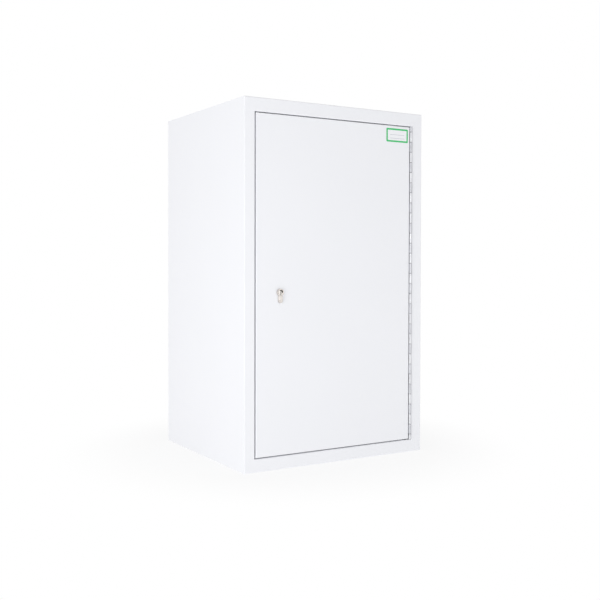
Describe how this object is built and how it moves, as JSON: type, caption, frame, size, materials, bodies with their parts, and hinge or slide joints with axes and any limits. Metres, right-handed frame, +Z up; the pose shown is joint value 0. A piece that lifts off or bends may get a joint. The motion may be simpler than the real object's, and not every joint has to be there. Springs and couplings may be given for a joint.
{
  "type": "lockable medicine cabinet",
  "caption": "Tall sheet-steel medicine cabinet with an inset door on a full-length hinge, a key lock that throws a bolt and two bars, and adjustable shelves.",
  "frame": {"origin": "centre of the cabinet's underside", "axes": "+Z up, the door faces -Y, the hinge is on the +X side"},
  "size_m": [0.5, 0.455, 0.85],
  "materials": {
    "cabinet_paint": "white powder coat, satin",
    "door_paint": "white powder coat, satin",
    "shelf_paint": "white powder coat, satin",
    "zinc_plate": "zinc plated sheet steel",
    "hinge_steel": "bright rolled steel",
    "screw_steel": "zinc plated fasteners",
    "nickel_plate": "satin nickel plate",
    "brass": "machined brass",
    "machined_steel": "machined steel",
    "rubber": "matt rubber",
    "nylon": "moulded nylon",
    "label": "blank write-on label with a green rim"
  },
  "bodies": {
    "cabinet": {"left_side_panel": "cabinet_paint", "right_side_panel": "cabinet_paint", "top_panel": "cabinet_paint", "base_panel": "cabinet_paint", "back_panel": "cabinet_paint", "wall_fixing_plates": "zinc_plate", "shelf_upright_front_left": "zinc_plate", "shelf_upright_front_right": "zinc_plate", "shelf_upright_rear_left": "zinc_plate", "shelf_upright_rear_right": "zinc_plate", "shelf_clips": "zinc_plate", "frame_hinge_leaf": "hinge_steel", "hinge_pin": "hinge_steel", "frame_hinge_rivets": "hinge_steel", "door_buffers": "rubber"},
    "lower_shelf": {"lower_shelf": "shelf_paint"},
    "middle_shelf": {"middle_shelf": "shelf_paint"},
    "upper_shelf": {"upper_shelf": "shelf_paint"},
    "door": {"door_skin": "door_paint", "door_liner": "door_paint", "door_stiffener": "zinc_plate", "door_hinge_leaf": "hinge_steel", "door_hinge_rivets": "hinge_steel", "label": "label", "lock_case": "zinc_plate", "lock_cover": "zinc_plate", "lock_cover_screws": "screw_steel", "lock_case_screws": "screw_steel", "lock_gear_post": "machined_steel", "lock_gear_clip": "screw_steel", "cylinder_body": "nickel_plate", "cylinder_screw": "screw_steel", "driver_pins": "machined_steel", "pin_springs": "machined_steel", "chamber_plugs": "brass", "rod_guides": "nylon", "rod_guide_screws": "screw_steel"},
    "plug": {"cylinder_plug": "nickel_plate", "key_pins": "brass", "cam_gear": "machined_steel"},
    "drive": {"drive_gear": "machined_steel", "bolt_pinion": "brass"},
    "bolt": {"deadbolt": "machined_steel"},
    "upper_bar": {"upper_locking_bar": "machined_steel"},
    "lower_bar": {"lower_locking_bar": "machined_steel"}
  },
  "joints": [
    {"name": "door_hinge", "type": "hinge", "parent": "cabinet", "child": "door", "pos_m": [0.21625, -0.225, 0.424], "axis": [0, 0, 1], "range_deg": [0, 170]},
    {"name": "lock_turn", "type": "hinge", "parent": "door", "child": "plug", "pos_m": [-0.159, -0.2, 0.4085], "axis": [0, -1, 0], "range_deg": [0, 360]},
    {"name": "drive_gear_turn", "type": "hinge", "parent": "door", "child": "drive", "pos_m": [-0.159, -0.19, 0.4385], "axis": [0, 1, 0], "range_deg": [0, 90]},
    {"name": "bolt_throw", "type": "slide", "parent": "door", "child": "bolt", "axis": [-1, 0, 0], "range_m": [0, 0.0126]},
    {"name": "upper_bar_throw", "type": "slide", "parent": "door", "child": "upper_bar", "axis": [0, 0, 1], "range_m": [0, 0.0126]},
    {"name": "lower_bar_throw", "type": "slide", "parent": "door", "child": "lower_bar", "axis": [0, 0, -1], "range_m": [0, 0.0126]},
    {"name": "lower_shelf_lift", "type": "slide", "parent": "cabinet", "child": "lower_shelf", "axis": [0, 0, 1], "range_m": [0, 0.025]},
    {"name": "middle_shelf_lift", "type": "slide", "parent": "cabinet", "child": "middle_shelf", "axis": [0, 0, 1], "range_m": [0, 0.025]},
    {"name": "upper_shelf_lift", "type": "slide", "parent": "cabinet", "child": "upper_shelf", "axis": [0, 0, 1], "range_m": [0, 0.025]}
  ],
  "couplings": [
    {"joint": "lock_turn", "follows": "drive_gear_turn", "ratio": 4},
    {"joint": "bolt_throw", "follows": "drive_gear_turn", "m_per_rad": 0.008},
    {"joint": "upper_bar_throw", "follows": "drive_gear_turn", "m_per_rad": 0.008},
    {"joint": "lower_bar_throw", "follows": "drive_gear_turn", "m_per_rad": 0.008}
  ]
}
